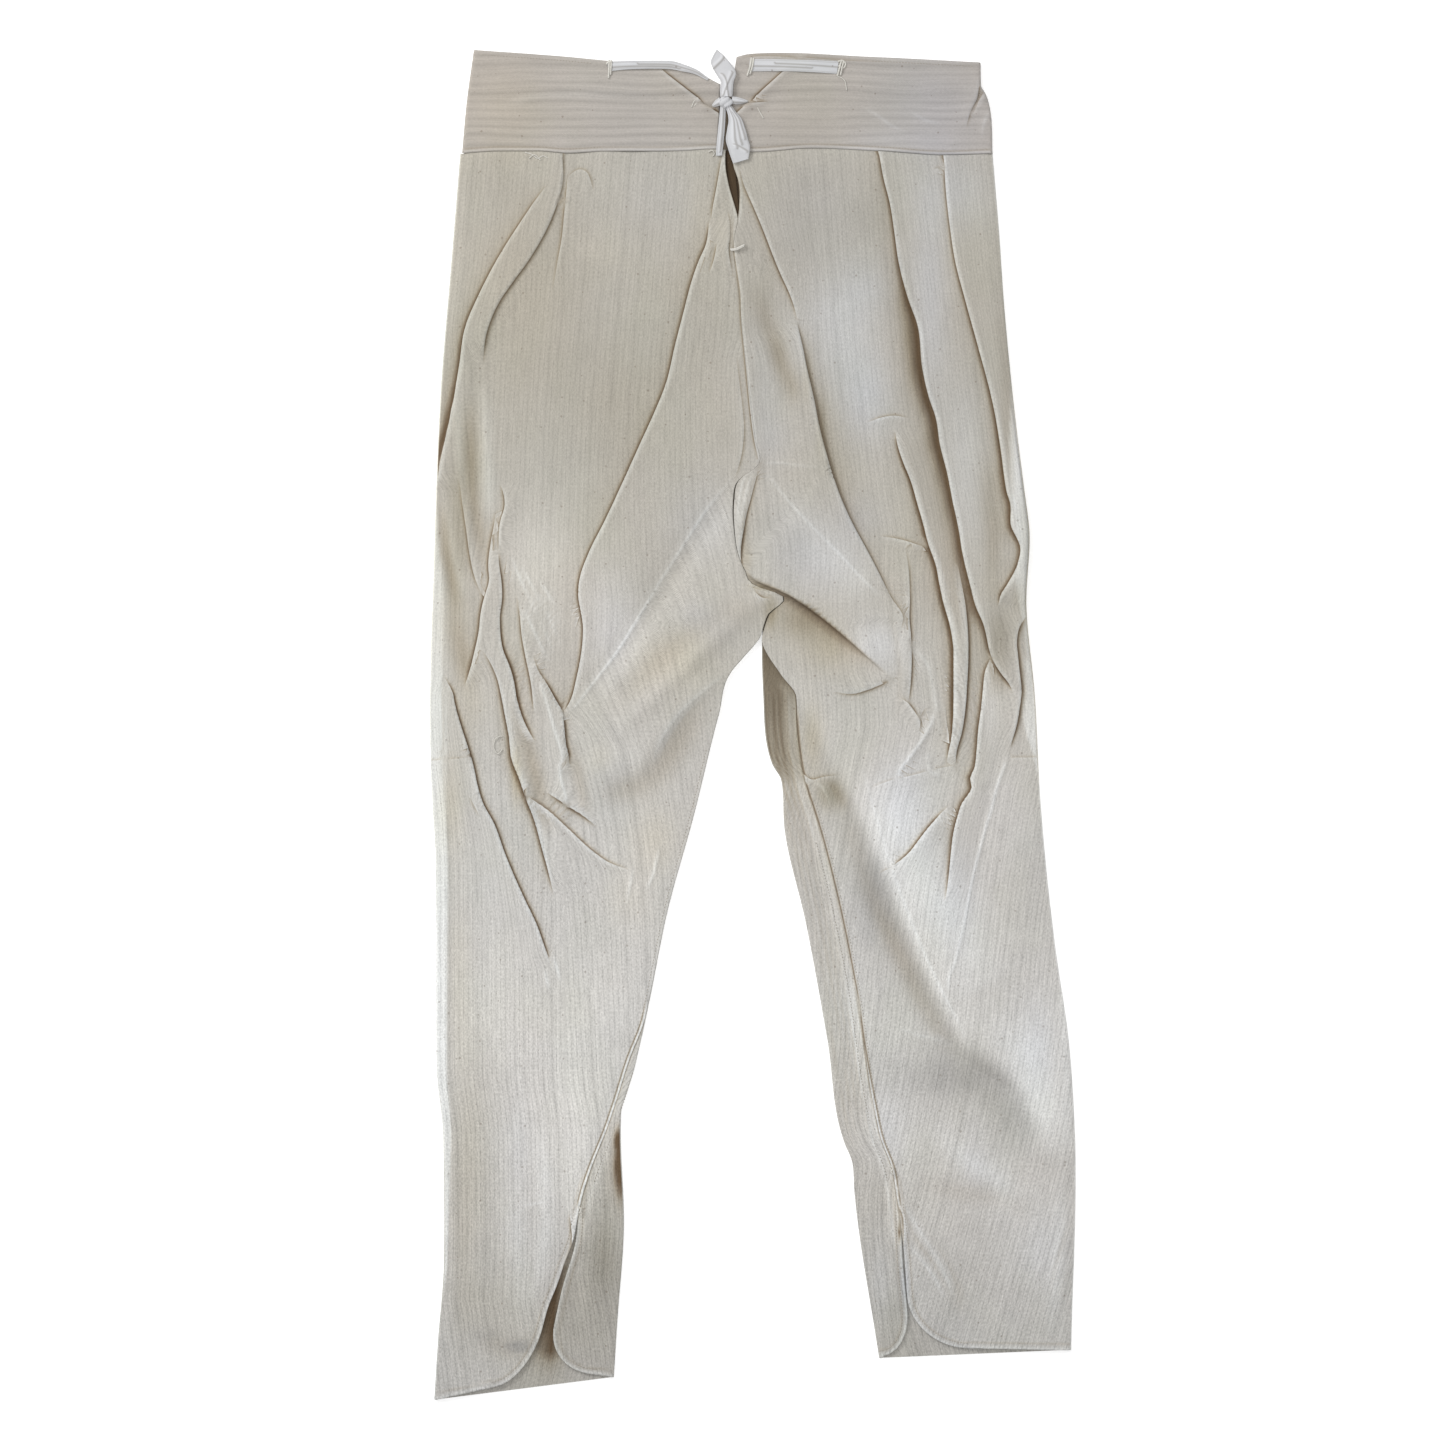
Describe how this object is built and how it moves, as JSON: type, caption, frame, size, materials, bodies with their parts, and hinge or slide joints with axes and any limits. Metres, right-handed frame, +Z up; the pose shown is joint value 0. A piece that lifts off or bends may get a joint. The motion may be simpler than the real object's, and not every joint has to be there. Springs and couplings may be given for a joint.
{
  "type": "cotton sleep trousers, old-fashioned drawers with a tape tie, laid flat",
  "caption": "Full-cut cotton trousers lying flat, front up: deep waistband tied with tape, brace loops, fly slit, waist tucks and open ankle vents with rounded corners.",
  "frame": {"origin": "centre of the garment's outline, on the surface that it lies on", "axes": "+Z up, out of the front of the garment; +Y towards the waist; +X towards the wearer's left leg"},
  "size_m": [0.5166, 1.0799, 0.0147],
  "materials": {
    "cloth": "matte unbleached cotton, narrow herringbone stripe",
    "tape": "matte white cotton tape"
  },
  "bodies": {
    "root": {"right_leg": "cloth", "left_leg": "cloth", "right_waistband": "cloth", "left_waistband": "cloth", "right_brace_loop": "tape", "left_brace_loop": "tape", "tie_knot": "tape", "tie_tail_up": "tape", "tie_tail_short": "tape", "tie_tail_long": "tape", "tie_strand_right": "tape", "tie_strand_left": "tape"}
  },
  "joints": []
}
